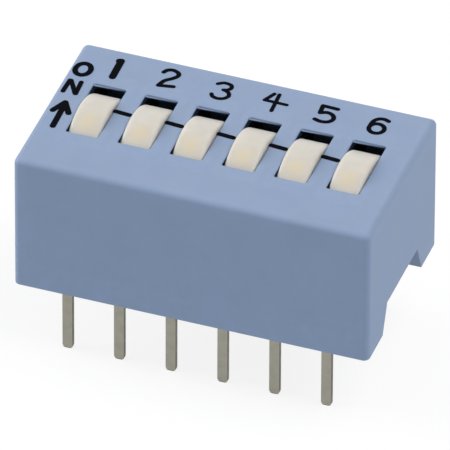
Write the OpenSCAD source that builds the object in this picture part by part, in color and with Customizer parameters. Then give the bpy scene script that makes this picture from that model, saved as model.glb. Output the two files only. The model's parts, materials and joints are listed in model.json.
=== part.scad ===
// Six-position rocker DIP switch for a printed circuit board, through-hole.
// X runs along the stations, -Y is the front, +Z is up, and Z = 0 is the
// seating plane, where the housing stands on the board. The origin is the
// middle of the pin field.

/* [Pin field] */
// Distance between neighbouring stations, and between the pins of a row
pitch = 2.54; // [2.4:0.02:3]
// Distance between the two rows of pins
row_spacing = 7.62; // [7:0.02:7.8]
// Width of a pin along the row
pin_w = 0.51; // [0.4:0.01:0.6]
// Thickness of the terminal strip
strip_t = 0.25; // [0.2:0.01:0.3]
// Length of a pin below the seating plane
pin_len = 3.8; // [2.5:0.05:5]
// Corner radius of a pin's tip
tip_r = 0.17; // [0.05:0.01:0.18]
// Inside radius of the terminal's bend
bend_r = 0.15; // [0.1:0.01:0.3]

/* [Housing] */
// From the last station's centre to the end face
end_margin = 2.32; // [2.2:0.005:3]
// From the centre line of a row of pins to the long face beside it
row_margin = 1.015; // [0.7:0.005:2]
// Height of the top face above the seating plane
body_h = 7.2; // [7:0.05:9]
// Thickness of the top plate
top_t = 1; // [0.95:0.05:1.2]
// Thickness of the end walls
end_t = 0.9; // [0.7:0.05:1]
// Radius of the housing's outer edges
edge_r = 0.3; // [0.1:0.05:0.5]
// Width of each foot beside an end wall's notch
foot_w = 2.1; // [1:0.1:3]
// Height of the end wall's notch
notch_h = 1.5; // [0.8:0.05:1.8]
// How far each side of the notch leans in at its top
notch_lean = 0.6; // [0:0.05:0.8]

/* [Slots] */
// Length of a slot, front to rear
slot_l = 3.9; // [3.5:0.05:4.5]
// Width of a slot
slot_w = 1.6; // [1.4:0.02:1.64]
// Corner radius of a slot
slot_r = 0.12; // [0.05:0.01:0.3]
// Thickness of the lip that the top plate keeps round each end of a slot
lip_t = 0.2; // [0.15:0.05:0.4]
// How far the recess under that lip runs past the slot's end
recess_past = 0.95; // [0.5:0.05:1.2]
// How far the recess runs back from the slot's end
recess_back = 0.7; // [0.3:0.05:1]
// How far the recess runs past each side of the slot
recess_side = 0.22; // [0.1:0.02:0.3]

/* [Rockers] */
// Tilt of a rocker each way from its middle position
tilt = 7; // [5:0.5:9]
// Depth of the pivot below the top face
pivot_depth = 0.9; // [0.85:0.05:1]
// Height of the crown above the top face, in the middle position
crown_h = 0.32; // [0.2:0.02:0.6]
// Depth of a rocker's ends below the top face, in the middle position
end_dip = 0.5; // [0.2:0.02:0.54]
// Radius of the long upper edges
rocker_edge_r = 0.2; // [0.1:0.01:0.3]
// Radius of the end edges and end corners
rocker_end_r = 0.1; // [0.08:0.01:0.2]
// Depth of the end skirts below the pivot
skirt_h = 0.35; // [0.2:0.05:0.5]
// Depth below the pivot at which the stem starts
shoulder_h = 0.9; // [0.7:0.05:1.2]
// Length of the stem, front to rear
stem_l = 1.5; // [1.2:0.05:2]
// Diameter of a trunnion
trunnion_d = 0.6; // [0.5:0.02:0.66]
// Distance between the trunnions of neighbouring rockers
trunnion_apart = 0.34; // [0.2:0.02:0.5]
// Depth of the spring pocket's end below the pivot
pocket_depth = 0.55; // [0.45:0.05:0.9]

/* [Spring and ball] */
// Diameter of the contact ball
ball_d = 0.78; // [0.7:0.02:0.84]
// Diameter of the spring wire
wire_d = 0.1; // [0.06:0.01:0.12]
// Turns of the spring
spring_turns = 5; // [3:1:7]

/* [Base and seal] */
// Height of the seal's lower face above the end wall's notch
seal_step = 0.15; // [0:0.05:0.3]
// Thickness of the seal under the base
seal_t = 0.5; // [0.3:0.05:0.7]
// Thickness of the base's floor
base_t = 0.85; // [0.75:0.05:1]
// Gap between the two contact rails
rail_gap = 0.3; // [0.2:0.02:0.36]
// Width of a contact rail
rail_w = 0.5; // [0.4:0.02:0.54]
// Where a terminal's root narrows to its rail, from the middle of the station
root_y = 2.3; // [2:0.05:2.6]
// How far the front rail stops short of the middle of the station
rail_stop = 0.05; // [0.02:0.01:0.2]
// How far the rear rail runs past the middle of the station
rail_reach = 1.1; // [0.9:0.05:1.6]
// Depth of the groove between the rails
groove_h = 0.15; // [0.1:0.01:0.3]

/* [Clearances] */
// Gap on each side of a rocker in its slot
slot_gap = 0.08; // [0.06:0.01:0.2]
// Gap between a rocker's end and the lip that it swings past
end_gap = 0.06; // [0.05:0.01:0.15]
// Gap between a rocker's side and the base's wall beside it
bay_gap = 0.17; // [0.1:0.01:0.2]
// Radial gap round a trunnion
trunnion_gap = 0.03; // [0.02:0.01:0.05]
// Gap past the end of a trunnion
trunnion_end_gap = 0.05; // [0.02:0.01:0.08]
// Radial gap round the ball in its pocket
pocket_gap = 0.03; // [0.02:0.01:0.05]
// Radial gap round the spring in its pocket
spring_gap = 0.05; // [0.03:0.01:0.08]
// Gap at each end of the spring
spring_end_gap = 0.01; // [0.005:0.005:0.03]
// Gap between the ball and the rails
rail_clear = 0.02; // [0.01:0.01:0.04]
// Gap between the stem and the base's floor
stem_gap = 0.25; // [0.2:0.05:0.4]
// Gap between the base and the housing
base_gap = 0.03; // [0.01:0.01:0.05]
// Gap between a pin and the long wall beside it
wall_gap = 0.09; // [0.04:0.01:0.12]
// Gap round a terminal in the base
strip_gap = 0.02; // [0.01:0.01:0.04]
// Gap round what the seal is cast against
cast_gap = 0.01; // [0.005:0.005:0.02]

/* [Hidden] */
$fn = 64;
stations = 6;
numbers = [for (i = [1 : stations]) i];
// Overshoot of a cut past the face that it opens
cut = 1;

// Housing and its cavity
body_l = (stations - 1) * pitch + 2 * end_margin;
body_d = row_spacing + 2 * row_margin;
cavity_l = body_l - 2 * end_t;
cavity_d = row_spacing + strip_t + 2 * wall_gap;
cavity_h = body_h - top_t;
pivot_z = body_h - pivot_depth;

// Levels of the seal, the base and the contact rails
seal_z = notch_h + seal_step;
base_z = seal_z + seal_t + cast_gap;
rail_z = base_z + base_t;

// Terminals: the bend's centre in the Y-Z plane
bend_y = -row_spacing / 2 + strip_t / 2 + bend_r;
bend_z = rail_z - strip_t - bend_r;
rail_x = rail_gap / 2;

// Rocker, measured from its pivot: its end corners swing past the lips' lower edges
rocker_w = slot_w - 2 * slot_gap;
swing_r = sqrt(pow(slot_l / 2 - end_gap, 2) + pow(pivot_depth - lip_t, 2));
rocker_half = sqrt(pow(swing_r, 2) - pow(pivot_depth - end_dip, 2));
rise = crown_h + end_dip;
arch_r = (pow(rocker_half, 2) + pow(rise, 2)) / (2 * rise);
arch_z = pivot_depth + crown_h - arch_r;
stem_z = rail_z + stem_gap - pivot_z;

// Trunnions and their bearings, which the housing and the base share
trunnion_span = pitch - trunnion_apart;
bearing_r = trunnion_d / 2 + trunnion_gap;
bearing_span = trunnion_span + 2 * trunnion_end_gap;
bay_w = rocker_w + 2 * bay_gap;

// The ball hangs a little between the two rails
ball_r = ball_d / 2;
ball_z = rail_z + rail_clear + sqrt(pow(ball_r, 2) - pow(rail_x, 2)) - pivot_z;
pocket_r = ball_r + pocket_gap;

// The spring sits on the ball and against the pocket's end
wire_r = wire_d / 2;
coil_r = pocket_r - spring_gap - wire_r;
spring_low = ball_z + sqrt(pow(ball_r + wire_r, 2) - pow(coil_r, 2)) + spring_end_gap;
spring_high = -pocket_depth - wire_r - spring_end_gap;
steps_per_turn = 14;
wire_sides = 6;

function station_x(i) = (i - (stations + 1) / 2) * pitch;

// Rectangle with round corners, centred
module rounded_rect(w, d, r) {
    square([w - 2 * r, d], center = true);
    square([w, d - 2 * r], center = true);
    for (x = [-1, 1], y = [-1, 1])
        translate([x * (w / 2 - r), y * (d / 2 - r)]) circle(r);
}

// Upright rectangle on the X axis with its two upper corners round
module rounded_top(w, h, r) {
    translate([-w / 2, 0]) square([w, h - r]);
    translate([r - w / 2, 0]) square([w - 2 * r, h]);
    for (x = [-1, 1])
        translate([x * (w / 2 - r), h - r]) circle(r);
}

// Extrude a Y-Z outline along X, centred
module along_x(w) {
    translate([-w / 2, 0, 0]) rotate([90, 0, 90]) linear_extrude(w) children();
}

// Extrude an X-Z outline along Y, centred
module along_y(d) {
    translate([0, d / 2, 0]) rotate([90, 0, 0]) linear_extrude(d) children();
}

module x_cylinder(r, l) {
    rotate([0, 90, 0]) cylinder(r = r, h = l, center = true);
}

// ---- Housing ----

module housing_block() {
    intersection() {
        linear_extrude(body_h) rounded_rect(body_l, body_d, edge_r);
        along_y(body_d) rounded_top(body_l, body_h, edge_r);
        along_x(body_l) rounded_top(body_d, body_h, edge_r);
    }
}

module end_notches() {
    half = body_d / 2 - foot_w;
    top_half = half - notch_lean;
    along_x(body_l + 2 * cut) polygon([
        [-half, -cut], [half, -cut], [half, 0], [top_half, notch_h],
        [-top_half, notch_h], [-half, 0]
    ]);
}

// Upper half of each station's trunnion bearing, open downwards
module bearing_grooves() {
    for (i = numbers) translate([station_x(i), 0, 0]) {
        translate([0, 0, pivot_z]) x_cylinder(bearing_r, bearing_span);
        translate([-bearing_span / 2, -bearing_r, cavity_h - cut])
            cube([bearing_span, 2 * bearing_r, pivot_z - cavity_h + cut]);
    }
}

// Slots through the top plate, with a recess under the lip at each end
module slots() {
    recess_l = recess_back + recess_past;
    for (i = numbers) translate([station_x(i), 0, cavity_h - cut]) {
        linear_extrude(top_t + 2 * cut) rounded_rect(slot_w, slot_l, slot_r);
        for (s = [-1, 1])
            translate([0, s * (slot_l - recess_back + recess_past) / 2, 0])
                linear_extrude(cut + top_t - lip_t)
                    rounded_rect(slot_w + 2 * recess_side, recess_l, slot_r);
    }
}

module housing() {
    color("#97a8c2") difference() {
        housing_block();
        translate([-cavity_l / 2, -cavity_d / 2, -cut])
            cube([cavity_l, cavity_d, cavity_h + cut]);
        end_notches();
        bearing_grooves();
        slots();
    }
}

// ---- Terminals ----

// Pin and bend seen from the end of the row, grown by gap on every side
module strip_side(gap) {
    bend_outer = bend_r + strip_t + gap;
    translate([-row_spacing / 2 - strip_t / 2 - gap, -pin_len])
        square([strip_t + 2 * gap, pin_len + bend_z]);
    translate([bend_y, bend_z]) intersection() {
        difference() {
            circle(bend_outer);
            circle(bend_r - gap);
        }
        translate([-bend_outer, 0]) square(bend_outer);
    }
}

// Pin seen from the front, with a round tip
module pin_front(gap) {
    w = pin_w + 2 * gap;
    mirror([0, 1]) translate([0, -rail_z - gap])
        rounded_top(w, rail_z + gap + pin_len, tip_r);
}

// Arm seen from above: a root over the pin's width, then a rail on one side
module arm_plan(rail_end, gap) {
    outer = rail_x + rail_w + gap;
    translate([-pin_w / 2 - gap, bend_y])
        square([pin_w / 2 + gap + outer, -root_y + gap - bend_y]);
    translate([rail_x - gap, bend_y])
        square([rail_w + 2 * gap, rail_end + gap - bend_y]);
}

// Front terminal in its station, its rail ending at rail_end
module strip(rail_end, gap = 0) {
    intersection() {
        along_x(pin_w + 2 * gap) strip_side(gap);
        along_y(body_d) pin_front(gap);
    }
    translate([0, 0, rail_z - strip_t - gap])
        linear_extrude(strip_t + 2 * gap) arm_plan(rail_end, gap);
}

module front_strip(i, gap = 0) {
    translate([station_x(i), 0, 0]) strip(-rail_stop, gap);
}

module rear_strip(i, gap = 0) {
    translate([station_x(i), 0, 0]) rotate([0, 0, 180]) strip(rail_reach, gap);
}

module terminal_front(i) {
    color("#8f8f86") front_strip(i);
}

module terminal_rear(i) {
    color("#8f8f86") rear_strip(i);
}

// ---- Base and seal ----

// One station's bay between the base's walls, with the lower half of the
// trunnion bearing and the groove that the ball runs over
module bay() {
    travel = ball_r - ball_z * sin(tilt);
    translate([-bay_w / 2, -body_d / 2, rail_z]) cube([bay_w, body_d, cavity_h]);
    translate([0, 0, pivot_z]) x_cylinder(bearing_r, bearing_span);
    translate([-rail_x, -travel, rail_z - groove_h]) cube([rail_gap, 2 * travel, groove_h + cut]);
}

module base() {
    l = cavity_l - 2 * base_gap;
    d = cavity_d - 2 * base_gap;
    color("#2b2e33") difference() {
        translate([-l / 2, -d / 2, base_z]) cube([l, d, cavity_h - base_gap - base_z]);
        for (i = numbers) {
            translate([station_x(i), 0, 0]) bay();
            front_strip(i, strip_gap);
            rear_strip(i, strip_gap);
        }
    }
}

module seal() {
    color("#1d1f24") difference() {
        translate([-cavity_l / 2 + cast_gap, -cavity_d / 2 + cast_gap, seal_z])
            cube([cavity_l - 2 * cast_gap, cavity_d - 2 * cast_gap, seal_t]);
        for (i = numbers) {
            front_strip(i, cast_gap);
            rear_strip(i, cast_gap);
        }
    }
}

// ---- Rockers ----

// Put children, drawn about the pivot in the middle position, in station i
module on_pivot(i) {
    translate([station_x(i), 0, pivot_z]) rotate([-tilt, 0, 0]) children();
}

// Side outline: arched top, short end skirts, and a stem below
module rocker_side() {
    f = rocker_end_r;
    corner_z = arch_z + sqrt(pow(arch_r - f, 2) - pow(rocker_half - f, 2));
    touch_y = (rocker_half - f) * arch_r / (arch_r - f);
    intersection() {
        translate([0, arch_z]) circle(arch_r);
        translate([-touch_y, 0]) square([2 * touch_y, arch_z + arch_r]);
    }
    for (s = [-1, 1])
        translate([s * (rocker_half - f), corner_z]) circle(f);
    polygon([
        [-rocker_half, corner_z], [-rocker_half, -skirt_h], [-stem_l / 2, -shoulder_h],
        [-stem_l / 2, stem_z], [stem_l / 2, stem_z],
        [stem_l / 2, -shoulder_h], [rocker_half, -skirt_h], [rocker_half, corner_z]
    ]);
}

// Disc whose rim gives the arched top with its round long edges
module arch_disc() {
    translate([0, 0, arch_z]) rotate([0, 90, 0]) rotate_extrude($fn = 128)
        rotate(-90) rounded_top(rocker_w, arch_r, rocker_edge_r);
}

module rocker(i) {
    color("#e4ddd0") on_pivot(i) difference() {
        union() {
            intersection() {
                arch_disc();
                along_x(rocker_w) rocker_side();
                translate([0, 0, stem_z])
                    linear_extrude(arch_r + arch_z - stem_z)
                        rounded_rect(rocker_w, 2 * rocker_half, rocker_end_r);
            }
            x_cylinder(trunnion_d / 2, trunnion_span);
        }
        translate([0, 0, stem_z - cut])
            cylinder(r = pocket_r, h = cut - stem_z - pocket_depth);
    }
}

// ---- Balls and springs ----

module ball(i) {
    color("#c9a24b") on_pivot(i) translate([0, 0, ball_z]) sphere(ball_r);
}

function coil_point(k) =
    let (turn = k / steps_per_turn, a = 360 * turn)
    [coil_r * cos(a), coil_r * sin(a), spring_low + (spring_high - spring_low) * turn / spring_turns];

// Ring of points round the wire at step k
function wire_ring(k) =
    let (c = coil_point(k), a = 360 * k / steps_per_turn)
    [for (s = [0 : wire_sides - 1])
        let (b = 360 * s / wire_sides)
        c + wire_r * [cos(b) * cos(a), cos(b) * sin(a), sin(b)]];

module spring(i) {
    last = spring_turns * steps_per_turn;
    n = wire_sides;
    points = [for (k = [0 : last]) each wire_ring(k)];
    sides = [for (k = [0 : last - 1], s = [0 : n - 1])
        let (t = (s + 1) % n)
        [k * n + s, (k + 1) * n + s, (k + 1) * n + t, k * n + t]];
    first_cap = [for (s = [0 : n - 1]) s];
    last_cap = [for (s = [n - 1 : -1 : 0]) last * n + s];
    color("#b4b6b8") on_pivot(i)
        polyhedron(points = points, faces = concat(sides, [first_cap, last_cap]));
}

housing();
base();
seal();
for (i = numbers) {
    rocker(i);
    spring(i);
    ball(i);
    terminal_front(i);
    terminal_rear(i);
}
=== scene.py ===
import json
import math

import bmesh
import bpy
from mathutils import Matrix, Vector


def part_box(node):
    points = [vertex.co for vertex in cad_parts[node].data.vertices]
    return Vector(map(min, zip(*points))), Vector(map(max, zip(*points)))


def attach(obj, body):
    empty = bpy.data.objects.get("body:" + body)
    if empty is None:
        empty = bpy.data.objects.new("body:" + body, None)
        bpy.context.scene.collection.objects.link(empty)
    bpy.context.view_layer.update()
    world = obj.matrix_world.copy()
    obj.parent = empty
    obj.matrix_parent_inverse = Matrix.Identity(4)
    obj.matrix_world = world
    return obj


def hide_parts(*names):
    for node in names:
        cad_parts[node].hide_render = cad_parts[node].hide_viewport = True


# Six-station rocker DIP switch. Sizes are in millimetres and angles in degrees,
# apart from the studio's, which are in metres; meshes are scaled to metres when
# they are made into objects. X runs along the stations, -Y is the front, +Z is
# up, and Z = 0 is the top of the board.

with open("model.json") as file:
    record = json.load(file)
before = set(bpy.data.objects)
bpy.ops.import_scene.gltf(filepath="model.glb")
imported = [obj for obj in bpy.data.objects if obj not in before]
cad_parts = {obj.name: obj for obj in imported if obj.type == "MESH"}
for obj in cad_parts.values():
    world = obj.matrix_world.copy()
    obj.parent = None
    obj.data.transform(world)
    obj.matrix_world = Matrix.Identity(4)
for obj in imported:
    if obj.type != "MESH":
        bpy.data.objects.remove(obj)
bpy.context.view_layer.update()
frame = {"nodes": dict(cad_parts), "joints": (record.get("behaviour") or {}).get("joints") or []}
MM = 0.001


def box_mm(node):
    low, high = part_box(node)
    return low / MM, high / MM


# ---- Sizes read from the frame ----

STATIONS = range(1, 7)
housing_low, housing_high = box_mm("housing")
seal_low, seal_high = box_mm("seal")
pin_low, pin_high = box_mm("terminal_front_1")
body_l = housing_high.x - housing_low.x
body_d = housing_high.y - housing_low.y
body_h = housing_high.z
tilt_joints = {j["child"]: j for j in frame["joints"]}
pivots = {i: Vector(tilt_joints[f"pole_{i}"]["pos_m"]) / MM for i in STATIONS}
pivot_z = pivots[1].z
rest_tilt = tilt_joints["pole_1"]["range_deg"][1] / 2
pitch = pivots[2].x - pivots[1].x

# ---- Sizes of the mouldings ----

# Housing
TOP_T = 1.0
END_T = 0.9
EDGE_R = 0.3
CORE_R = 0.15
FOOT_W = 2.1
NOTCH_H = 1.5
NOTCH_LEAN = 0.6
SLOT_L = 3.9
SLOT_W = 1.6
SLOT_R = 0.12
LIP_T = 0.11
RECESS_PAST = 0.95
RECESS_BACK = 0.7
RECESS_SIDE = 0.22
BEARING_R = 0.33
BEARING_SPAN = 2.3
RIM_R = 0.04
LIP_R = 0.04
CAVITY_PLAY = 0.02

# Rockers, measured from the pivot in the middle position
PIVOT_DEPTH = body_h - pivot_z
ROCKER_W = 1.51
ROCKER_L = 3.95
CROWN_H = 0.32
END_DIP = 0.5
ROCKER_EDGE_R = 0.17
ROCKER_END_R = 0.1
ROCKER_BREAK_R = 0.03
SKIRT_H = 0.35
SHOULDER_H = 0.9
STEM_L = 1.5
STEM_Z = -3.04
TRUNNION_D = 0.6
TRUNNION_SPAN = 2.2
POCKET_R = 0.42
POCKET_DEPTH = 0.55

# Terminals
PIN_W = 0.51
STRIP_T = 0.25
TIP_R = 0.17
BEND_R = 0.15
ROOT_Y = 2.3
RAIL_X = 0.15
RAIL_W = 0.5
RAIL_Z = 3.01
FRONT_RAIL_END = -0.05
REAR_RAIL_END = 1.1
STAMPED_R = 0.03
ROOT_STEP = 0.06
BEND_STEPS = 8

# Potting
CREEP_H = 0.16
CREEP_REACH = 0.14
FLAT_RISE = 0.02
POTTING_CELLS = (172, 92)

# Print
INK_T = 0.014
INK_SUNK = 0.004
DIGIT_Y = 3.35
DIGIT_STROKES = {1: 0.35, 2: 0.22, 3: 0.2, 4: 0.19, 5: 0.22, 6: 0.22}
LETTER_O_STROKE = 0.27
LETTER_N_STROKE = 0.23
ARROW_STROKE = 0.29
DASH_STROKE = 0.27
LEGEND_BACK = 1.65
LETTER_O_Y = 2.76
LETTER_O_RADII = (0.36, 0.45)
SIX_BOWL_AT = (-0.08, -0.27)
SIX_BOWL_R = 0.36
DASH_SHIFT = -0.05
DASH_HALF_L = 0.35
DASH_ENDS_Y = (0.23, 0.17)
BEND_CUTS = 6
BEND_CUT_STEP = EDGE_R / 9

# Limits for telling edges apart
NEAR = 1e-4
FLAT_ANGLE = 6
ROUNDED_ANGLE = 20
SHARP_ANGLE = 35
POTTING_SHARP_ANGLE = 60

# Sides of the round outlines
CIRCLE_SIDES = 32
RING_SIDES = 48


# ---- Mesh making ----

def piece(name, bm, body, cad_node=None):
    """Make the millimetre mesh bm into a smooth-shaded piece that rides on a body."""
    bmesh.ops.recalc_face_normals(bm, faces=bm.faces)
    bmesh.ops.scale(bm, vec=Vector((MM, MM, MM)), verts=bm.verts)
    for face in bm.faces:
        face.smooth = True
    mesh = bpy.data.meshes.new(name)
    bm.to_mesh(mesh)
    bm.free()
    obj = bpy.data.objects.new(name, mesh)
    bpy.context.scene.collection.objects.link(obj)
    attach(obj, body)
    if cad_node:
        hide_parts(cad_node)
    return obj


def cell_solid(xs, ys, zs, filled):
    """Skin of all the cells between the planes xs, ys and zs whose middle is filled."""
    counts = (len(xs) - 1, len(ys) - 1, len(zs) - 1)

    def solid(i, j, k):
        inside = 0 <= i < counts[0] and 0 <= j < counts[1] and 0 <= k < counts[2]
        return inside and filled(
            (xs[i] + xs[i + 1]) / 2, (ys[j] + ys[j + 1]) / 2, (zs[k] + zs[k + 1]) / 2
        )

    bm = bmesh.new()
    made = {}

    def corner(index):
        if index not in made:
            i, j, k = index
            made[index] = bm.verts.new((xs[i], ys[j], zs[k]))
        return made[index]

    for i in range(counts[0]):
        for j in range(counts[1]):
            for k in range(counts[2]):
                if not solid(i, j, k):
                    continue
                for axis in range(3):
                    for side in (0, 1):
                        beyond = [i, j, k]
                        beyond[axis] += 1 if side else -1
                        if solid(*beyond):
                            continue
                        a, b = (axis + 1) % 3, (axis + 2) % 3
                        ring = []
                        for da, db in ((0, 0), (1, 0), (1, 1), (0, 1)):
                            index = [i, j, k]
                            index[axis] += side
                            index[a] += da
                            index[b] += db
                            ring.append(corner(tuple(index)))
                        bm.faces.new(ring if side else ring[::-1])
    return bm


def extruded(outline, thickness, place):
    """Prism of a closed outline, half of its thickness each side; place maps (u, v, w) to a point."""
    bm = bmesh.new()
    rings = [
        [bm.verts.new(place(u, v, side * thickness / 2)) for u, v in outline]
        for side in (-1, 1)
    ]
    bm.faces.new(rings[0][::-1])
    bm.faces.new(rings[1])
    for n in range(len(outline)):
        after = (n + 1) % len(outline)
        bm.faces.new((rings[0][n], rings[0][after], rings[1][after], rings[1][n]))
    return bm


def arc(centre, radius, start, end, steps):
    """Points on an arc in the plane, angles in degrees; radius may be (across, up)."""
    across, up = radius if isinstance(radius, tuple) else (radius, radius)
    points = []
    for n in range(steps + 1):
        a = math.radians(start + (end - start) * n / steps)
        points.append((centre[0] + across * math.cos(a), centre[1] + up * math.sin(a)))
    return points


def circle(centre, radius, sides):
    """Corners of a closed circle, or of an ellipse."""
    return arc(centre, radius, 0, 360 - 360 / sides, sides - 1)


def mark_rounds(bm, largest, radius_of):
    """Give each sharp edge the bevel weight that makes its round of radius radius_of(edge)."""
    bm.normal_update()
    weight = bm.edges.layers.float.new("bevel_weight_edge")
    for edge in bm.edges:
        if len(edge.link_faces) == 2 and edge.calc_face_angle() > math.radians(ROUNDED_ANGLE):
            edge[weight] = radius_of(edge) / largest


def round_edges(obj, largest, steps=6):
    """Round the edges that mark_rounds has marked."""
    bevel = obj.modifiers.new("rounds", "BEVEL")
    bevel.limit_method = "WEIGHT"
    bevel.offset_type = "OFFSET"
    bevel.width = largest * MM
    bevel.segments = steps
    bevel.use_clamp_overlap = False


def break_edges(obj, radius, steps=3):
    """Take the sharpness off every edge that is still sharp."""
    bevel = obj.modifiers.new("broken_edges", "BEVEL")
    bevel.limit_method = "ANGLE"
    bevel.angle_limit = math.radians(SHARP_ANGLE)
    bevel.offset_type = "OFFSET"
    bevel.width = radius * MM
    bevel.segments = steps
    bevel.use_clamp_overlap = False


def flat_faces_stay_flat(obj):
    weighted = obj.modifiers.new("flat_faces", "WEIGHTED_NORMAL")
    weighted.mode = "FACE_AREA"
    weighted.keep_sharp = True


def settle(obj):
    """Apply the modifiers."""
    bpy.context.view_layer.update()
    graph = bpy.context.evaluated_depsgraph_get()
    mesh = bpy.data.meshes.new_from_object(obj.evaluated_get(graph))
    obj.modifiers.clear()
    spare = obj.data
    obj.data = mesh
    bpy.data.meshes.remove(spare)
    mesh.name = obj.name


def combine(obj, tool_bm, operation):
    """Join the millimetre solid tool_bm to obj, or cut it from obj."""
    bmesh.ops.recalc_face_normals(tool_bm, faces=tool_bm.faces)
    bmesh.ops.scale(tool_bm, vec=Vector((MM, MM, MM)), verts=tool_bm.verts)
    mesh = bpy.data.meshes.new("tool")
    tool_bm.to_mesh(mesh)
    tool_bm.free()
    for polygon in mesh.polygons:
        polygon.use_smooth = True
    tool = bpy.data.objects.new("tool", mesh)
    bpy.context.scene.collection.objects.link(tool)
    boolean = obj.modifiers.new("tool", "BOOLEAN")
    boolean.solver = "EXACT"
    boolean.operation = operation
    boolean.object = tool
    settle(obj)
    bpy.data.objects.remove(tool)
    bpy.data.meshes.remove(mesh)


# ---- Shader node helpers ----

def add(tree, kind, inputs=None, **settings):
    """New node with its settings, and its inputs set to values or linked to sockets."""
    made = tree.nodes.new(kind)
    for name, value in settings.items():
        setattr(made, name, value)
    for key, value in (inputs or {}).items():
        if isinstance(value, bpy.types.NodeSocket):
            tree.links.new(value, made.inputs[key])
        else:
            made.inputs[key].default_value = value
    return made


def value_math(tree, operation, first, second=0.0):
    return add(tree, "ShaderNodeMath", {0: first, 1: second}, operation=operation).outputs[0]


def remap(tree, value, low, high, to_low=0.0, to_high=1.0):
    node = add(
        tree,
        "ShaderNodeMapRange",
        {"Value": value, "From Min": low, "From Max": high, "To Min": to_low, "To Max": to_high},
        clamp=True,
    )
    return node.outputs["Result"]


def blend_colour(tree, factor, first, second):
    node = add(tree, "ShaderNodeMix", {"Factor": factor}, data_type="RGBA")
    for socket, colour in ((node.inputs[6], first), (node.inputs[7], second)):
        if isinstance(colour, bpy.types.NodeSocket):
            tree.links.new(colour, socket)
        else:
            socket.default_value = (*colour, 1.0)
    return node.outputs[2]


def new_group(name, inputs, outputs):
    """Node group with float inputs {name: default} and outputs {name: socket type}."""
    group = bpy.data.node_groups.new(name, "ShaderNodeTree")
    for label, default in inputs.items():
        socket = group.interface.new_socket(label, in_out="INPUT", socket_type="NodeSocketFloat")
        socket.default_value = default
    for label, kind in outputs.items():
        group.interface.new_socket(label, in_out="OUTPUT", socket_type=kind)
    return group, group.nodes.new("NodeGroupInput").outputs, group.nodes.new("NodeGroupOutput")


def use_group(tree, group, values):
    node = add(tree, "ShaderNodeGroup", None, node_tree=group)
    for key, value in values.items():
        node.inputs[key].default_value = value
    return node.outputs


def noise(tree, vector, scale, detail=2.0, roughness=0.5):
    node = add(
        tree,
        "ShaderNodeTexNoise",
        {"Vector": vector, "Scale": scale, "Detail": detail, "Roughness": roughness},
    )
    return node.outputs["Fac"]


def millimetres(tree):
    """Object coordinates in millimetres."""
    where = add(tree, "ShaderNodeTexCoord").outputs["Object"]
    scale = add(tree, "ShaderNodeVectorMath", {0: where, "Scale": 1 / MM}, operation="SCALE")
    return scale.outputs[0]


# ---- Effects that several finishes share ----

def moulded_grain_group():
    """Fine spark-eroded grain and slow tone changes of a moulded surface."""
    group, given, out = new_group(
        "moulded_grain",
        {"Grain Size": 0.06, "Mottle Size": 1.5},
        {"Height": "NodeSocketFloat", "Mottle": "NodeSocketFloat"},
    )
    where = millimetres(group)
    per_grain = value_math(group, "DIVIDE", 1.0, given["Grain Size"])
    per_mottle = value_math(group, "DIVIDE", 1.0, given["Mottle Size"])
    fine = noise(group, where, per_grain, detail=2.0)
    broad = noise(group, where, per_mottle, detail=3.0, roughness=0.55)
    group.links.new(fine, out.inputs["Height"])
    group.links.new(remap(group, broad, 0.3, 0.7), out.inputs["Mottle"])
    return group


def edge_polish_group():
    """Mask of the outer edges, broken up as handling leaves them."""
    group, given, out = new_group(
        "edge_polish", {"Reach": 0.53, "Amount": 1.0}, {"Mask": "NodeSocketFloat"}
    )
    point = add(group, "ShaderNodeNewGeometry").outputs["Pointiness"]
    edge = remap(group, point, 0.5, given["Reach"])
    breaks = remap(group, noise(group, millimetres(group), 2.2, detail=4.0), 0.35, 0.6, 0.35, 1.0)
    worn = value_math(group, "MULTIPLY", edge, breaks)
    group.links.new(value_math(group, "MULTIPLY", worn, given["Amount"]), out.inputs["Mask"])
    return group


def dust_and_top_sheen_group():
    """Faint dust specks, and a warm film, on what faces up; at the housing's strength the film lightens
    its top as painted sheen.
    """
    group, given, out = new_group(
        "dust_and_top_sheen", {"Specks": 0.1, "Film": 0.01, "Speck Size": 0.05},
        {"Mask": "NodeSocketFloat"},
    )
    normal = add(group, "ShaderNodeNewGeometry").outputs["Normal"]
    up = add(group, "ShaderNodeSeparateXYZ", {0: normal}).outputs["Z"]
    faces_up = remap(group, up, 0.2, 1.0)
    where = millimetres(group)
    per_speck = value_math(group, "DIVIDE", 1.0, given["Speck Size"])
    specks = remap(group, noise(group, where, per_speck, detail=1.0), 0.68, 0.78)
    film = remap(group, noise(group, where, 0.9, detail=4.0), 0.3, 0.7, 0.5, 1.0)
    specks = value_math(group, "MULTIPLY", specks, given["Specks"])
    film = value_math(group, "MULTIPLY", film, given["Film"])
    dust_sheen_mask = value_math(group, "MAXIMUM", specks, film)
    group.links.new(value_math(group, "MULTIPLY", dust_sheen_mask, faces_up), out.inputs["Mask"])
    return group


def drawn_lines_group():
    """Fine lines along Z that rolling and drawing leave on metal, and its uneven plating."""
    group, given, out = new_group(
        "drawn_lines",
        {"Line Size": 0.02, "Line Length": 2.0, "Patch Size": 0.6},
        {"Lines": "NodeSocketFloat", "Patches": "NodeSocketFloat"},
    )
    where = millimetres(group)
    across = value_math(group, "DIVIDE", 1.0, given["Line Size"])
    along = value_math(group, "DIVIDE", 1.0, given["Line Length"])
    stretch = add(group, "ShaderNodeCombineXYZ", {"X": across, "Y": across, "Z": along})
    drawn = add(
        group, "ShaderNodeVectorMath", {0: where, 1: stretch.outputs[0]}, operation="MULTIPLY"
    )
    lines = noise(group, drawn.outputs[0], 1.0, detail=2.0)
    per_patch = value_math(group, "DIVIDE", 1.0, given["Patch Size"])
    patches = remap(group, noise(group, where, per_patch, detail=3.0), 0.3, 0.7)
    group.links.new(lines, out.inputs["Lines"])
    group.links.new(patches, out.inputs["Patches"])
    return group


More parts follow.
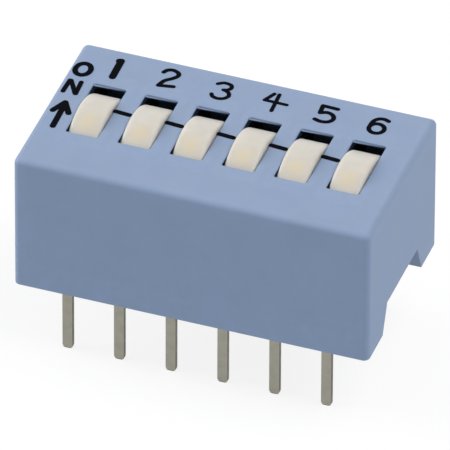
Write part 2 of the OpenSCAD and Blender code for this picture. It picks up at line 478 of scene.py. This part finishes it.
moulded_grain = moulded_grain_group()
edge_polish = edge_polish_group()
dust_and_top_sheen = dust_and_top_sheen_group()
drawn_lines = drawn_lines_group()


# ---- Finishes ----

def finish(name, **constants):
    """New material; its shader's plain numbers are set on the shader's own sockets."""
    material = bpy.data.materials.new(name)
    material.use_nodes = True
    shader = material.node_tree.nodes["Principled BSDF"]
    for label, value in constants.items():
        shader.inputs[label.replace("_", " ")].default_value = value
    return material, material.node_tree, shader


def bump(tree, shader, height, strength, depth):
    node = add(tree, "ShaderNodeBump", {"Height": height, "Strength": strength, "Distance": depth * MM})
    tree.links.new(node.outputs["Normal"], shader.inputs["Normal"])


def moulded_plastic(name, colour, worn_colour, roughness, grain, depth, dust_and_sheen_amounts, **constants):
    """Moulded plastic: grain, slow tone changes, polished edges, a little dust, and a film on upward
    faces that can paint sheen on the top.
    """
    material, tree, shader = finish(name, **constants)
    skin = use_group(tree, moulded_grain, grain)
    edges = use_group(tree, edge_polish, {"Amount": 0.35})
    dust_sheen_mask = use_group(tree, dust_and_top_sheen, dust_and_sheen_amounts)
    darker = tuple(0.965 * c for c in colour)
    lighter = tuple(1.02 * c for c in colour)
    tone = blend_colour(tree, skin["Mottle"], darker, lighter)
    tone = blend_colour(tree, edges["Mask"], tone, worn_colour)
    # Blends in the dust specks and the film that is painted sheen on upward faces
    tone = blend_colour(tree, dust_sheen_mask["Mask"], tone, DUST_AND_SHEEN)
    tree.links.new(tone, shader.inputs["Base Color"])
    low, high = roughness
    tree.links.new(remap(tree, skin["Mottle"], 0.0, 1.0, low, high), shader.inputs["Roughness"])
    bump(tree, shader, skin["Height"], 0.35, depth)
    return material


# Warm grey of the dust specks, and of the film that paints a warm sheen on upward faces
DUST_AND_SHEEN = (0.62, 0.58, 0.5)
BLUE = (0.243, 0.34, 0.527)
WARM_WHITE = (0.69, 0.655, 0.59)
# Tan painted on the front half of each rocker's top: painted shade of its front slope
FRONT_SLOPE_SHADE_TAN = (0.76, 0.69, 0.545)
FRONT_SHADE_AT_Y = -1.15
FRONT_SHADE_CORE_R = 0.2
FRONT_SHADE_FADE_R = 0.62
FRONT_SHADE_UNEVEN = 0.08
ROCKER_EDGE_WHITE = (0.84, 0.81, 0.76)
BLACK = (0.018, 0.02, 0.024)
EPOXY_PALE = (0.03, 0.031, 0.034)
TIN_DARK = (0.255, 0.247, 0.205)
TIN_PALE = (0.325, 0.315, 0.265)
TIN_EDGE = (0.37, 0.36, 0.3)
TIN_SIDES = (0.12, 0.115, 0.094)
STEEL_DARK = (0.5, 0.5, 0.5)
STEEL_PALE = (0.6, 0.6, 0.6)
GOLD_DARK = (0.72, 0.50, 0.20)
GOLD_PALE = (0.80, 0.58, 0.26)
INK_DARK = (0.001, 0.0015, 0.003)
INK_PALE = (0.002, 0.003, 0.006)


def housing_plastic():
    # The strong film here is painted sheen: it lightens and warms the housing's top
    return moulded_plastic(
        "housing_plastic", BLUE, tuple(1.12 * c for c in BLUE), (0.5, 0.58),
        {"Grain Size": 0.05, "Mottle Size": 1.8}, 0.004, {"Specks": 0.12, "Film": 0.095}, IOR=1.5,
    )


def painted_front_shade(tree):
    """Mask of the warm tan patch on the front half of each rocker's top: painted shade of the slope
    that faces the front.
    """
    where = add(tree, "ShaderNodeSeparateXYZ", {0: millimetres(tree)}).outputs
    stations = value_math(tree, "DIVIDE", where["X"], pitch)
    offset = value_math(tree, "SUBTRACT", value_math(tree, "FRACT", stations), 0.5)
    across = value_math(tree, "MULTIPLY", offset, pitch)
    along = value_math(tree, "SUBTRACT", where["Y"], FRONT_SHADE_AT_Y)
    place = add(tree, "ShaderNodeCombineXYZ", {"X": across, "Y": along})
    away = add(tree, "ShaderNodeVectorMath", {0: place.outputs[0]}, operation="LENGTH")
    cloud = noise(tree, millimetres(tree), 3.0, 2.0)
    uneven = remap(tree, cloud, 0.3, 0.7, -FRONT_SHADE_UNEVEN, FRONT_SHADE_UNEVEN)
    reach = value_math(tree, "ADD", away.outputs["Value"], uneven)
    return remap(tree, reach, FRONT_SHADE_CORE_R, FRONT_SHADE_FADE_R, 1.0, 0.0)


def rocker_plastic():
    material = moulded_plastic(
        "rocker_plastic", WARM_WHITE, ROCKER_EDGE_WHITE, (0.3, 0.38),
        {"Grain Size": 0.09, "Mottle Size": 0.7}, 0.002, {"Specks": 0.08, "Film": 0.01}, IOR=1.5,
        Subsurface_Weight=1.0, Subsurface_Scale=0.4 * MM, Subsurface_Radius=(1.0, 0.85, 0.7),
        Specular_IOR_Level=0.25,
    )
    tree = material.node_tree
    colour = tree.nodes["Principled BSDF"].inputs["Base Color"]
    plain = colour.links[0].from_socket
    # The tan patch is painted shade on the rocker's front slope
    tree.links.new(blend_colour(tree, painted_front_shade(tree), plain, FRONT_SLOPE_SHADE_TAN), colour)
    return material


def base_plastic():
    return moulded_plastic(
        "base_plastic", BLACK, tuple(1.6 * c for c in BLACK), (0.5, 0.6),
        {"Grain Size": 0.05, "Mottle Size": 1.2}, 0.004, {"Specks": 0.03, "Film": 0.01}, IOR=1.5,
    )


def cast_epoxy():
    """Potted epoxy: glossy, slowly wavy, with a few tiny bubbles."""
    material, tree, shader = finish("cast_epoxy", IOR=1.54)
    where = millimetres(tree)
    cloud = remap(tree, noise(tree, where, 0.8, 4.0), 0.3, 0.7)
    tone = blend_colour(tree, cloud, BLACK, EPOXY_PALE)
    tree.links.new(tone, shader.inputs["Base Color"])
    gloss = remap(tree, noise(tree, where, 2.5, 3.0), 0.3, 0.7, 0.08, 0.22)
    tree.links.new(gloss, shader.inputs["Roughness"])
    waves = noise(tree, where, 1.1, 1.0)
    cells = add(tree, "ShaderNodeTexVoronoi", {"Vector": where, "Scale": 2.4})
    bubbles = remap(tree, cells.outputs["Distance"], 0.04, 0.08, -0.5, 0.0)
    bump(tree, shader, value_math(tree, "ADD", waves, bubbles), 0.5, 0.06)
    return material


def tin_plate():
    """Dull tin plate on stamped strip, darker on the faces that face along the row."""
    material, tree, shader = finish("tin_plate", Metallic=1.0)
    strip = use_group(tree, drawn_lines, {"Line Size": 0.025, "Line Length": 1.2, "Patch Size": 0.5})
    edges = use_group(tree, edge_polish, {"Amount": 0.5})
    tone = blend_colour(tree, strip["Patches"], TIN_DARK, TIN_PALE)
    tone = blend_colour(tree, edges["Mask"], tone, TIN_EDGE)
    place = add(tree, "ShaderNodeTexCoord")
    facing = add(tree, "ShaderNodeSeparateXYZ", {"Vector": place.outputs["Normal"]})
    across = value_math(tree, "ABSOLUTE", facing.outputs["X"])
    along_row_sides = remap(tree, across, 0.35, 0.8)
    tone = blend_colour(tree, along_row_sides, tone, TIN_SIDES)
    tree.links.new(tone, shader.inputs["Base Color"])
    tree.links.new(remap(tree, strip["Patches"], 0.0, 1.0, 0.34, 0.5), shader.inputs["Roughness"])
    bump(tree, shader, strip["Lines"], 0.3, 0.004)
    return material


def spring_wire():
    material, tree, shader = finish("spring_wire", Metallic=1.0)
    wire = use_group(tree, drawn_lines, {"Line Size": 0.01, "Line Length": 0.05, "Patch Size": 0.3})
    tone = blend_colour(tree, wire["Patches"], STEEL_DARK, STEEL_PALE)
    tree.links.new(tone, shader.inputs["Base Color"])
    tree.links.new(remap(tree, wire["Patches"], 0.0, 1.0, 0.22, 0.36), shader.inputs["Roughness"])
    bump(tree, shader, wire["Lines"], 0.2, 0.002)
    return material


def gold_plate():
    material, tree, shader = finish("gold_plate", Metallic=1.0)
    skin = use_group(tree, moulded_grain, {"Grain Size": 0.03, "Mottle Size": 0.3})
    tone = blend_colour(tree, skin["Mottle"], GOLD_DARK, GOLD_PALE)
    tree.links.new(tone, shader.inputs["Base Color"])
    tree.links.new(remap(tree, skin["Mottle"], 0.0, 1.0, 0.14, 0.26), shader.inputs["Roughness"])
    bump(tree, shader, skin["Height"], 0.15, 0.001)
    return material


def print_ink():
    """Black pad-printed ink: matt, with slight changes of tone."""
    material, tree, shader = finish("print_ink", IOR=1.3, Specular_IOR_Level=0.05)
    skin = use_group(tree, moulded_grain, {"Grain Size": 0.04, "Mottle Size": 0.35})
    dust_sheen_mask = use_group(tree, dust_and_top_sheen, {"Specks": 0.004, "Film": 0.001})
    tone = blend_colour(tree, skin["Mottle"], INK_DARK, INK_PALE)
    tone = blend_colour(tree, dust_sheen_mask["Mask"], tone, DUST_AND_SHEEN)
    tree.links.new(tone, shader.inputs["Base Color"])
    tree.links.new(remap(tree, skin["Mottle"], 0.0, 1.0, 0.55, 0.7), shader.inputs["Roughness"])
    bump(tree, shader, skin["Height"], 0.3, 0.003)
    return material


# ---- Housing ----

def housing_moulding():
    """Cover with six slots, trunnion bearings under the top, and a notch in each end wall.

    The notch's sides lean in towards its top."""
    cavity_l = body_l - 2 * END_T
    cavity_d = seal_high.y - seal_low.y + CAVITY_PLAY
    cavity_h = body_h - TOP_T
    notch = body_d / 2 - FOOT_W
    bearing_top = pivot_z + BEARING_R
    recess_x = SLOT_W / 2 + RECESS_SIDE
    recess_near = SLOT_L / 2 - RECESS_BACK
    recess_far = SLOT_L / 2 + RECESS_PAST
    xs = {side * x for side in (-1, 1) for x in (body_l / 2, cavity_l / 2)}
    for i in STATIONS:
        for half in (SLOT_W / 2, recess_x, BEARING_SPAN / 2):
            xs |= {round(pivots[i].x - half, 4), round(pivots[i].x + half, 4)}
    half_widths = (
        body_d / 2, cavity_d / 2, notch, recess_far, SLOT_L / 2, recess_near, BEARING_R,
    )
    ys = [side * y for side in (-1, 1) for y in half_widths]
    zs = [0, NOTCH_H, cavity_h, bearing_top, body_h - LIP_T, body_h]

    def filled(x, y, z):
        offset = min(abs(x - pivots[i].x) for i in STATIONS)
        if z > cavity_h:
            in_slot = offset < SLOT_W / 2 and abs(y) < SLOT_L / 2
            in_recess = offset < recess_x and recess_near < abs(y) < recess_far
            in_bearing = offset < BEARING_SPAN / 2 and abs(y) < BEARING_R and z < bearing_top
            return not (in_slot or in_recess and z < body_h - LIP_T or in_bearing)
        in_wall = abs(x) > cavity_l / 2 or abs(y) > cavity_d / 2
        in_notch = abs(x) > cavity_l / 2 and abs(y) < notch and z < NOTCH_H
        return in_wall and not in_notch

    bm = cell_solid(sorted(xs), sorted(ys), zs, filled)
    for vert in bm.verts:
        if abs(vert.co.z - NOTCH_H) < NEAR and abs(abs(vert.co.y) - notch) < NEAR:
            vert.co.y = math.copysign(notch - NOTCH_LEAN, vert.co.y)
    bm.normal_update()
    spare = [
        edge for edge in bm.edges
        if all(abs(vert.co.z - body_h + LIP_T) < NEAR for vert in edge.verts)
        and edge.calc_face_angle() < math.radians(FLAT_ANGLE)
    ]
    bmesh.ops.dissolve_edges(bm, edges=spare, use_verts=True)

    def radius_of(edge):
        middle = (edge.verts[0].co + edge.verts[1].co) / 2
        along = edge.verts[1].co - edge.verts[0].co
        upright = abs(along.z) > NEAR
        outer = [
            abs(abs(middle.x) - body_l / 2) < NEAR,
            abs(abs(middle.y) - body_d / 2) < NEAR,
            abs(middle.z - body_h) < NEAR,
        ]
        if sum(outer) == 2:
            return EDGE_R
        corner = min(abs(abs(middle.y) - y) for y in (SLOT_L / 2, recess_far)) < NEAR
        if upright and middle.z > cavity_h and corner:
            return SLOT_R
        if upright and middle.z < cavity_h and abs(abs(middle.y) - cavity_d / 2) < NEAR:
            return CORE_R
        if abs(middle.z - body_h + LIP_T) < NEAR and abs(abs(middle.y) - SLOT_L / 2) < NEAR:
            return LIP_R
        return 0.0

    mark_rounds(bm, EDGE_R, radius_of)
    obj = piece("housing_moulding", bm, "frame", "housing")
    round_edges(obj, EDGE_R, steps=8)
    break_edges(obj, RIM_R)
    flat_faces_stay_flat(obj)
    return obj


# ---- Rockers ----

def rocker_outline():
    """Side outline about the pivot: arched top, short end skirts, and a stem below."""
    half = ROCKER_L / 2
    rise = CROWN_H + END_DIP
    radius = (half**2 + rise**2) / (2 * rise)
    sweep = math.degrees(math.asin(half / radius))
    top = arc((0, PIVOT_DEPTH + CROWN_H - radius), radius, 90 + sweep, 90 - sweep, 28)
    below = [
        (half, -SKIRT_H), (STEM_L / 2, -SHOULDER_H), (STEM_L / 2, STEM_Z),
        (-STEM_L / 2, STEM_Z), (-STEM_L / 2, -SHOULDER_H), (-half, -SKIRT_H),
    ]
    return top + below, half


def rocker(i):
    outline, half = rocker_outline()
    bm = extruded(outline, ROCKER_W, lambda u, v, w: (w, u, v))

    def radius_of(edge):
        middle = (edge.verts[0].co + edge.verts[1].co) / 2
        along = edge.verts[1].co - edge.verts[0].co
        if middle.z < -SKIRT_H + NEAR:
            return 0.0
        at_end = abs(abs(middle.y) - half) < NEAR
        if at_end:
            return ROCKER_END_R
        return ROCKER_EDGE_R if abs(along.x) < NEAR else 0.0

    mark_rounds(bm, ROCKER_EDGE_R, radius_of)
    obj = piece(f"rocker_moulding_{i}", bm, f"pole_{i}", f"rocker_{i}")
    round_edges(obj, ROCKER_EDGE_R, steps=6)
    break_edges(obj, ROCKER_BREAK_R, steps=2)
    settle(obj)
    trunnions = extruded(
        circle((0, 0), TRUNNION_D / 2, CIRCLE_SIDES), TRUNNION_SPAN, lambda u, v, w: (w, u, v)
    )
    combine(obj, trunnions, "UNION")
    pocket_l = -POCKET_DEPTH - STEM_Z + 1
    pocket = extruded(
        circle((0, 0), POCKET_R, CIRCLE_SIDES),
        pocket_l,
        lambda u, v, w: (u, v, -POCKET_DEPTH + w - pocket_l / 2),
    )
    combine(obj, pocket, "DIFFERENCE")
    obj.data.transform(
        Matrix.Translation(pivots[i] * MM) @ Matrix.Rotation(math.radians(-rest_tilt), 4, "X")
    )
    obj.data.set_sharp_from_angle(angle=math.radians(SHARP_ANGLE))
    flat_faces_stay_flat(obj)
    return obj


# ---- Terminals ----

def strip_stations(rail_end):
    """Stations along a terminal from its tip to the end of its rail.

    Each is (y, z, angle, left, right): the strip's middle, the direction it runs
    in (90 is up and 0 is inwards), and its two edges across the row."""
    half = PIN_W / 2
    front = pin_low.y + STRIP_T / 2
    tip = pin_low.z
    stations = []
    for u, v in arc((half - TIP_R, tip + TIP_R), TIP_R, -90, 0, 6):
        stations.append((front, v, 90, -u, u))
    bend_centre = (front + STRIP_T / 2 + BEND_R, RAIL_Z - STRIP_T - BEND_R)
    for n in range(BEND_STEPS + 1):
        a = 180 - 90 * n / BEND_STEPS
        r = BEND_R + STRIP_T / 2
        y = bend_centre[0] + r * math.cos(math.radians(a))
        z = bend_centre[1] + r * math.sin(math.radians(a))
        stations.append((y, z, a - 90, -half, half))
    level = RAIL_Z - STRIP_T / 2
    outer = RAIL_X + RAIL_W
    stations.append((bend_centre[0] + ROOT_STEP, level, 0, -half, outer))
    stations.append((-ROOT_Y - ROOT_STEP, level, 0, -half, outer))
    stations.append((-ROOT_Y, level, 0, RAIL_X, outer))
    stations.append((rail_end, level, 0, RAIL_X, outer))
    return stations


def terminal(i, row, rail_end, turn):
    """Stamped strip: pin, bend, root and contact rail.

    turn is 1 for the front row and -1 for the rear."""
    bm = bmesh.new()
    rings = []
    for y, z, angle, left, right in strip_stations(rail_end):
        a = math.radians(angle + 90)
        out_y, out_z = math.cos(a) * STRIP_T / 2, math.sin(a) * STRIP_T / 2
        corners = ((left, 1), (right, 1), (right, -1), (left, -1))
        rings.append(
            [
                bm.verts.new((pivots[i].x + turn * x, turn * (y + s * out_y), z + s * out_z))
                for x, s in corners
            ]
        )
    for before, after in zip(rings, rings[1:]):
        for n in range(4):
            bm.faces.new((before[n], before[(n + 1) % 4], after[(n + 1) % 4], after[n]))
    bm.faces.new(rings[0][::-1])
    bm.faces.new(rings[-1])
    obj = piece(f"pin_{row}_{i}", bm, "frame", f"terminal_{row}_{i}")
    break_edges(obj, STAMPED_R, steps=3)
    flat_faces_stay_flat(obj)
    return obj


# ---- Potting ----

def potting():
    """Epoxy under the base; its lower face creeps along the walls and the pins."""
    low, high = seal_low, seal_high
    pins_y = pin_low.y + STRIP_T / 2
    columns, rows = POTTING_CELLS
    bm = bmesh.new()

    def lower_face(x, y):
        to_wall = min(x - low.x, high.x - x, y - low.y, high.y - y)
        depth = math.exp(-to_wall / CREEP_REACH)
        for i in STATIONS:
            for side in (-1, 1):
                across = max(abs(x - pivots[i].x) - PIN_W / 2, 0)
                along = max(abs(y - side * pins_y) - STRIP_T / 2, 0)
                depth += math.exp(-math.hypot(across, along) / CREEP_REACH)
        return low.z + FLAT_RISE - CREEP_H * min(depth, 1.0)

    def layer(height):
        return [
            [
                bm.verts.new((x, y, height(x, y)))
                for x in (low.x + (high.x - low.x) * c / columns for c in range(columns + 1))
            ]
            for y in (low.y + (high.y - low.y) * r / rows for r in range(rows + 1))
        ]

    grid = layer(lower_face)
    for r in range(rows):
        for c in range(columns):
            bm.faces.new((grid[r][c], grid[r + 1][c], grid[r + 1][c + 1], grid[r][c + 1]))
    rim = grid[0] + [row[-1] for row in grid[1:]]
    rim += grid[-1][-2::-1] + [row[0] for row in grid[-2:0:-1]]
    top = [bm.verts.new((v.co.x, v.co.y, high.z)) for v in rim]
    for n in range(len(rim)):
        after = (n + 1) % len(rim)
        bm.faces.new((rim[n], rim[after], top[after], top[n]))
    bm.faces.new(top)
    obj = piece("potting", bm, "frame", "seal")
    obj.data.set_sharp_from_angle(angle=math.radians(POTTING_SHARP_ANGLE))
    return obj


# ---- Print ----

def smooth_path(points, steps=8):
    """Catmull-Rom curve through the points."""
    ends = [points[0], *points, points[-1]]
    path = []
    for a, b, c, d in zip(ends, ends[1:], ends[2:], ends[3:]):
        for n in range(steps):
            t = n / steps
            path.append(
                tuple(
                    0.5 * (
                        2 * b[k] + (c[k] - a[k]) * t
                        + (2 * a[k] - 5 * b[k] + 4 * c[k] - d[k]) * t**2
                        + (3 * b[k] - a[k] - 3 * c[k] + d[k]) * t**3
                    )
                    for k in (0, 1)
                )
            )
    return path + [points[-1]]


def stroke(path, width):
    """Outline of a pen stroke along the path, with round ends."""
    sides = []
    for n, point in enumerate(path):
        before, after = path[max(n - 1, 0)], path[min(n + 1, len(path) - 1)]
        sides.append(math.degrees(math.atan2(after[1] - before[1], after[0] - before[0])))
    left = [arc(p, width / 2, a + 90, a + 90, 1)[0] for p, a in zip(path, sides)]
    right = [arc(p, width / 2, a - 90, a - 90, 1)[0] for p, a in zip(path, sides)]
    far_end = arc(path[-1], width / 2, sides[-1] + 90, sides[-1] - 90, 10)[1:-1]
    near_end = arc(path[0], width / 2, sides[0] - 90, sides[0] - 270, 10)[1:-1]
    return left + far_end + right[::-1] + near_end


def ink_prism(outline):
    level = body_h + (INK_T - INK_SUNK) / 2
    return extruded(outline, INK_T + INK_SUNK, lambda u, v, w: (u, v, level + w))


def ink_ring(centre, radii, width):
    """Closed stroke round an ellipse."""
    outer = circle(centre, tuple(r + width / 2 for r in radii), RING_SIDES)
    inner = circle(centre, tuple(r - width / 2 for r in radii), RING_SIDES)
    bm = bmesh.new()
    loops = [
        [bm.verts.new((x, y, body_h + z)) for x, y in outline]
        for outline, z in ((outer, -INK_SUNK), (outer, INK_T), (inner, INK_T), (inner, -INK_SUNK))
    ]
    for a, b in zip(loops, loops[1:] + loops[:1]):
        for n in range(len(a)):
            after = (n + 1) % len(a)
            bm.faces.new((a[n], a[after], b[after], b[n]))
    return bm


def bend_over_end(obj):
    """Lay the print down over the housing's rounded end edge."""
    flat_end = -(body_l / 2 - EDGE_R)
    bm = bmesh.new()
    bm.from_mesh(obj.data)
    for n in range(BEND_CUTS):
        plane = Vector(((flat_end - n * BEND_CUT_STEP) * MM, 0, 0))
        bmesh.ops.bisect_plane(
            bm, geom=bm.verts[:] + bm.edges[:] + bm.faces[:], plane_co=plane,
            plane_no=Vector((1, 0, 0)), dist=1e-9,
        )
    for vert in bm.verts:
        past = flat_end - vert.co.x / MM
        if past > 0:
            vert.co.z -= (EDGE_R - math.sqrt(EDGE_R**2 - past**2)) * MM
    bm.to_mesh(obj.data)
    bm.free()


def print_mark(name, solids):
    """One printed mark, from overlapping strokes."""
    obj = piece(name, solids[0], "frame")
    for other in solids[1:]:
        combine(obj, other, "UNION")
    bend_over_end(obj)
    for polygon in obj.data.polygons:
        polygon.use_smooth = False
    obj.data.materials.clear()
    obj.data.materials.append(INK)


# Strokes of each digit, from the station's centre and the digits' centre line;
# the points of a stroke with more than two are joined by a smooth curve
DIGITS = {
    1: [[(-0.2, 0.6), (-0.17, -0.68)], [(-0.27, 0.58), (-0.2, 0.6)]],
    2: [
        [(-0.6, 0.47), (-0.48, 0.67), (-0.22, 0.75), (0.06, 0.63), (0.13, 0.43),
         (-0.02, 0.17), (-0.35, -0.15), (-0.5, -0.57)],
        [(-0.5, -0.57), (0.2, -0.44)],
    ],
    3: [
        [(-0.48, 0.48), (-0.21, 0.64), (0.12, 0.58), (0.22, 0.38), (0.12, 0.2),
         (-0.08, 0.12)],
        [(-0.08, 0.12), (0.19, 0.01), (0.3, -0.24), (0.16, -0.49), (-0.13, -0.59),
         (-0.4, -0.51), (-0.5, -0.35)],
    ],
    4: [
        [(-0.06, 0.65), (-0.01, -0.64)],
        [(-0.58, 0.04), (0.51, 0.02)],
        [(-0.3, 0.63), (-0.58, 0.04)],
    ],
    5: [
        [(-0.43, 0.54), (0.3, 0.51)],
        [(-0.43, 0.54), (-0.39, -0.01)],
        [(-0.39, -0.01), (-0.05, 0.11), (0.25, -0.02), (0.35, -0.29), (0.19, -0.55),
         (-0.15, -0.63), (-0.46, -0.55)],
    ],
    6: [[(-0.44, -0.26), (-0.4, 0.2), (-0.22, 0.45), (0.04, 0.51), (0.27, 0.43)]],
}


def digit(i):
    solids = []
    width = DIGIT_STROKES[i]
    for points in DIGITS[i]:
        placed = [(pivots[i].x + x, DIGIT_Y + y) for x, y in points]
        path = smooth_path(placed) if len(placed) > 2 else placed
        solids.append(ink_prism(stroke(path, width)))
    if i == 6:
        centre = (pivots[i].x + SIX_BOWL_AT[0], DIGIT_Y + SIX_BOWL_AT[1])
        solids.append(ink_ring(centre, (SIX_BOWL_R, SIX_BOWL_R), width))
    print_mark(f"digit_{i}", solids)


def on_legend():
    """The letters O and N, and an arrow that points to the side where a station is on."""
    x = pivots[1].x - LEGEND_BACK
    print_mark("letter_O", [ink_ring((x, LETTER_O_Y), LETTER_O_RADII, LETTER_O_STROKE)])
    n_strokes = [
        [(x - 0.28, 1.77), (x - 0.3, 0.87)],
        [(x - 0.22, 1.77), (x + 0.3, 0.87)],
        [(x + 0.27, 1.79), (x + 0.32, 0.87)],
    ]
    print_mark("letter_N", [ink_prism(stroke(s, LETTER_N_STROKE)) for s in n_strokes])
    arrow_strokes = [
        [(x + 0.13, 0.05), (x + 0.18, -1.8)],
        [(x + 0.1, 0.1), (x - 0.24, -0.66)],
        [(x + 0.1, 0.1), (x + 0.53, -0.64)],
    ]
    print_mark("arrow", [ink_prism(stroke(s, ARROW_STROKE)) for s in arrow_strokes])


def dash(i):
    """Short line between two stations."""
    x = (pivots[i].x + pivots[i + 1].x) / 2 + DASH_SHIFT
    line = [(x - DASH_HALF_L, DASH_ENDS_Y[0]), (x + DASH_HALF_L, DASH_ENDS_Y[1])]
    print_mark(f"dash_{i}", [ink_prism(stroke(line, DASH_STROKE))])


# ---- The switch ----

def clothe(obj, material):
    obj.data.materials.clear()
    obj.data.materials.append(material)


HOUSING = housing_plastic()
ROCKER = rocker_plastic()
BASE = base_plastic()
EPOXY = cast_epoxy()
TIN = tin_plate()
SPRING = spring_wire()
GOLD = gold_plate()
INK = print_ink()

clothe(housing_moulding(), HOUSING)
clothe(potting(), EPOXY)
clothe(frame["nodes"]["base"], BASE)
for i in STATIONS:
    clothe(rocker(i), ROCKER)
    clothe(terminal(i, "front", FRONT_RAIL_END, 1), TIN)
    clothe(terminal(i, "rear", REAR_RAIL_END, -1), TIN)
    clothe(frame["nodes"][f"spring_{i}"], SPRING)
    clothe(frame["nodes"][f"ball_{i}"], GOLD)
    digit(i)
    if i + 1 in STATIONS:
        dash(i)
on_legend()


# ---- Studio ----

FLOOR_SIZE = 4
FLOOR_COLOUR = (0.8, 0.8, 0.8, 1)
FLOOR_SEEN_COLOUR = (0.18, 0.18, 0.18, 1)
FLOOR_GLOW = 0.85
AIR_LIGHT = 0.33
LAMP_DISTANCE = 0.6

# Direction from the switch, side and power of each lamp
LAMPS = {
    "back": ((-0.264, 0.748, 0.609), 0.5, 0.12),
    "upper_left": ((-1, 0, 1.2), 0.4, 0.5),
    "lower_left": ((-1, -0.1, 0.4), 0.4, 1.75),
    "upper_right": ((1, 0, 1.7), 0.4, 1.7),
}

# The camera's place, in millimetres and degrees; the aim is a point on the
# part's upright axis, moved along the camera's own right and up
CAMERA_AZIMUTH = 19.43
CAMERA_ELEVATION = 37.51
CAMERA_ROLL = 0.28
CAMERA_DISTANCE = 636.1
CAMERA_LENS = 1101.9
CAMERA_AIM_Z = 3
CAMERA_AIM_RIGHT = -0.022
CAMERA_AIM_UP = -0.641


def seen_as_white(tree, rays):
    """1 for the rays that show the background: straight to the camera, mirrored or through."""
    mirrored = value_math(
        tree, "MAXIMUM", rays.outputs["Is Glossy Ray"], rays.outputs["Is Transmission Ray"]
    )
    return value_math(tree, "MAXIMUM", rays.outputs["Is Camera Ray"], mirrored)


def paper_floor():
    """Wide pale paper under the switch; it keeps the shadow and reads as white round it."""
    bpy.ops.mesh.primitive_plane_add(size=FLOOR_SIZE, location=(0, 0, pin_low.z * MM))
    floor = bpy.context.object
    floor.name = "floor"
    material = bpy.data.materials.new("paper")
    material.use_nodes = True
    tree = material.node_tree
    tree.nodes.clear()
    white = add(tree, "ShaderNodeBsdfDiffuse", {"Color": FLOOR_COLOUR})
    seen = add(tree, "ShaderNodeBsdfDiffuse", {"Color": FLOOR_SEEN_COLOUR})
    glow = add(tree, "ShaderNodeEmission", {"Color": (1, 1, 1, 1), "Strength": FLOOR_GLOW})
    shown = add(tree, "ShaderNodeAddShader", {0: seen.outputs[0], 1: glow.outputs[0]})
    rays = add(tree, "ShaderNodeLightPath")
    lit = add(
        tree, "ShaderNodeMixShader",
        {0: seen_as_white(tree, rays), 1: white.outputs[0], 2: shown.outputs[0]},
    )
    clear = add(tree, "ShaderNodeBsdfTransparent")
    below = value_math(
        tree, "MULTIPLY", rays.outputs["Is Camera Ray"],
        add(tree, "ShaderNodeNewGeometry").outputs["Backfacing"],
    )
    either = add(tree, "ShaderNodeMixShader", {0: below, 1: lit.outputs[0], 2: clear.outputs[0]})
    add(tree, "ShaderNodeOutputMaterial", {"Surface": either.outputs[0]})
    floor.data.materials.append(material)


def softbox(name, direction, size, power):
    """Square lamp that faces the switch from the given direction."""
    lamp = bpy.data.lights.new(name, "AREA")
    lamp.shape = "SQUARE"
    lamp.size = size
    lamp.energy = power
    obj = bpy.data.objects.new(name, lamp)
    bpy.context.scene.collection.objects.link(obj)
    towards = Vector(direction).normalized()
    obj.location = towards * LAMP_DISTANCE
    obj.rotation_mode = "QUATERNION"
    obj.rotation_quaternion = towards.to_track_quat("Z", "Y")


def studio_air():
    """Even pale light from all round, seen as white by the camera and in reflections."""
    world = bpy.data.worlds.new("studio_air")
    world.use_nodes = True
    tree = world.node_tree
    tree.nodes.clear()
    rays = add(tree, "ShaderNodeLightPath")
    strength = remap(tree, seen_as_white(tree, rays), 0.0, 1.0, AIR_LIGHT, 1.0)
    air = add(tree, "ShaderNodeBackground", {"Color": (1, 1, 1, 1), "Strength": strength})
    add(tree, "ShaderNodeOutputWorld", {"Surface": air.outputs[0]})
    bpy.context.scene.world = world


def camera():
    """Long lens from the front right, looking down at the print."""
    azimuth = math.radians(CAMERA_AZIMUTH)
    elevation = math.radians(CAMERA_ELEVATION)
    roll = math.radians(CAMERA_ROLL)
    back = Vector((
        math.sin(azimuth) * math.cos(elevation),
        -math.cos(azimuth) * math.cos(elevation),
        math.sin(elevation),
    ))
    right = Vector((math.cos(azimuth), math.sin(azimuth), 0))
    up = back.cross(right)
    turned_right = right * math.cos(roll) + up * math.sin(roll)
    turned_up = up * math.cos(roll) - right * math.sin(roll)
    aim = Vector((0, 0, CAMERA_AIM_Z))
    aim += CAMERA_AIM_RIGHT * turned_right + CAMERA_AIM_UP * turned_up
    data = bpy.data.cameras.new("camera")
    data.lens = CAMERA_LENS
    data.sensor_width = 36
    data.clip_start = 0.05
    data.clip_end = 10
    obj = bpy.data.objects.new("camera", data)
    bpy.context.scene.collection.objects.link(obj)
    place = Matrix((turned_right, turned_up, back)).transposed().to_4x4()
    place.translation = (aim + back * CAMERA_DISTANCE) * MM
    obj.matrix_world = place
    bpy.context.scene.camera = obj


paper_floor()
for lamp_name, (direction, size, power) in LAMPS.items():
    softbox(lamp_name, direction, size, power)
studio_air()
camera()
bpy.context.scene.view_settings.view_transform = "Standard"
